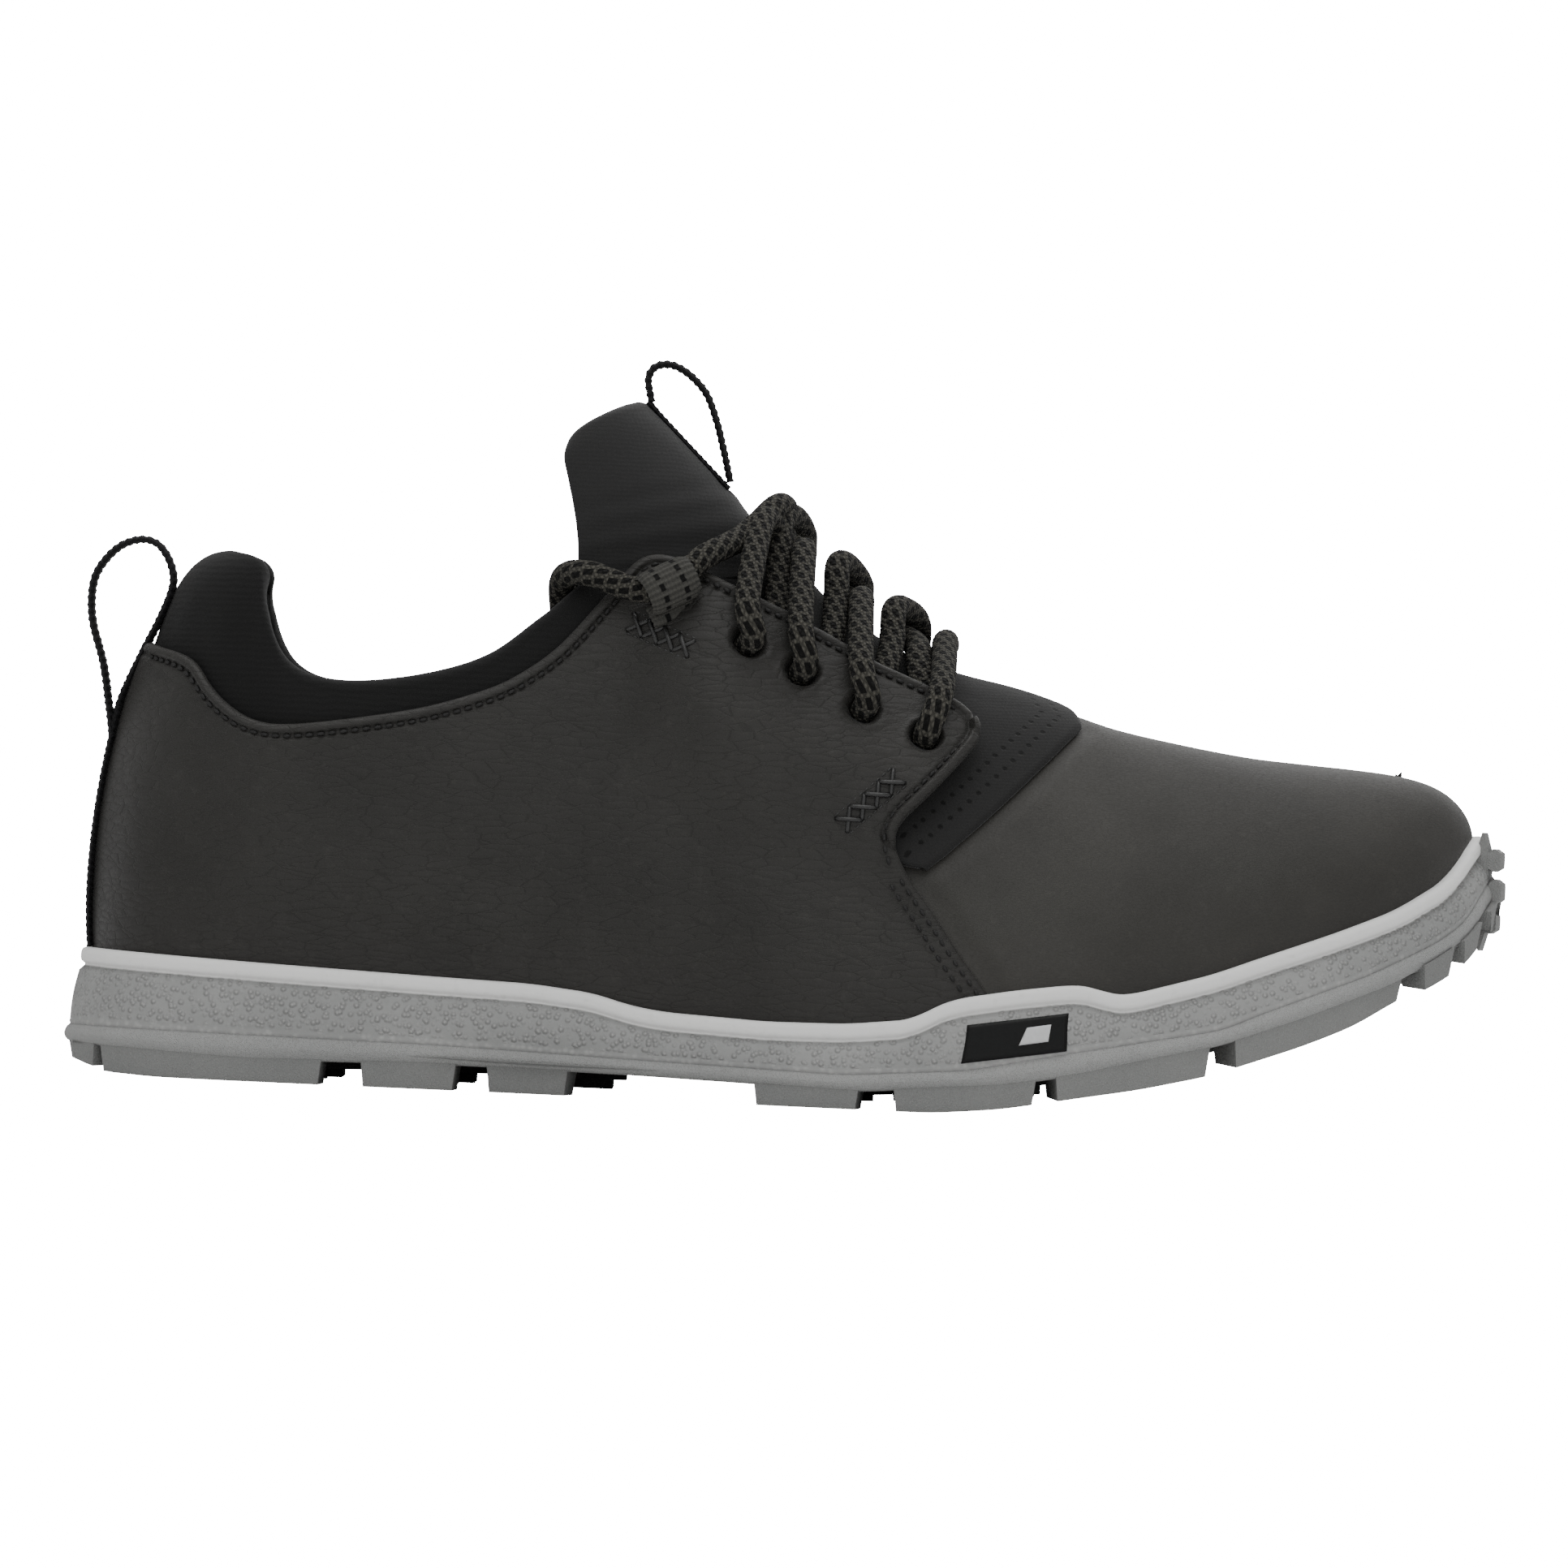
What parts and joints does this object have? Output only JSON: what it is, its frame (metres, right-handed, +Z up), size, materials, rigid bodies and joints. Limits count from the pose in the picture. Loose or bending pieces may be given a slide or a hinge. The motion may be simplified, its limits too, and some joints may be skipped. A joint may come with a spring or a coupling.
{
  "type": "golf shoe",
  "caption": "Right spikeless golf shoe: knit bootie, leather saddles and toe, grey cup sole with grip lugs, pull loops, folding tongue and lift-out footbed.",
  "frame": {"origin": "middle of the bounding box in plan, on the floor that the tread rests on", "axes": "+X to the toe, +Y to the inner (medial) side, +Z up"},
  "size_m": [0.3018, 0.1084, 0.155],
  "materials": {
    "sole_rubber": "satin",
    "sole_wall": "matte",
    "tread_black": "matte",
    "tread_grey": "matte",
    "badge_black": "gloss",
    "badge_light": "satin",
    "board": "matte",
    "footbed_foam": "matte",
    "footbed_cloth": "matte",
    "stiffener": "matte",
    "backing": "matte",
    "knit": "matte",
    "collar_pad": "matte",
    "lining": "matte",
    "vamp_leather": "satin",
    "neoprene": "matte",
    "quarter_leather": "satin",
    "thread": "satin",
    "webbing": "matte",
    "tongue_cloth": "matte",
    "lace_cord": "matte",
    "aglet_plastic": "gloss",
    "loop_webbing": "matte"
  },
  "bodies": {
    "shoe": {"outsole": "sole_rubber", "midsole": "sole_wall", "tread_insert_heel": "tread_black", "tread_insert_forefoot": "tread_grey", "sidewall_badge": "badge_black", "badge_emblem": "badge_light", "strobel_board": "board", "heel_counter": "stiffener", "toe_puff": "stiffener", "vamp_backing": "backing", "bootie": "knit", "collar_foam": "collar_pad", "collar_lining": "lining", "vamp": "vamp_leather", "instep_panel": "neoprene", "quarter_lateral": "quarter_leather", "quarter_medial": "quarter_leather", "saddle_backing_lateral": "backing", "saddle_backing_medial": "backing", "cross_stitch_upper_lateral": "thread", "cross_stitch_lower_lateral": "thread", "cross_stitch_upper_medial": "thread", "cross_stitch_lower_medial": "thread", "heel_tape": "webbing", "heel_pull_loop": "webbing", "lace": "lace_cord", "aglet_lateral": "aglet_plastic", "aglet_medial": "aglet_plastic", "lace_loop_lateral": "loop_webbing", "lace_loop_medial": "loop_webbing"},
    "tongue_flap": {"tongue": "tongue_cloth", "tongue_tape": "webbing", "tongue_pull_loop": "webbing"},
    "footbed": {"insole_foam": "footbed_foam", "insole_cover": "footbed_cloth"}
  },
  "joints": [
    {"name": "tongue_fold", "type": "hinge", "parent": "shoe", "child": "tongue_flap", "pos_m": [-0.008, 0.00083, 0.117], "axis": [0, 1, 0], "range_deg": [0, 30]},
    {"name": "footbed_lift", "type": "hinge", "parent": "shoe", "child": "footbed", "pos_m": [0.1326, 0.00883, 0.052], "axis": [0, 1, 0], "range_deg": [0, 6]}
  ]
}
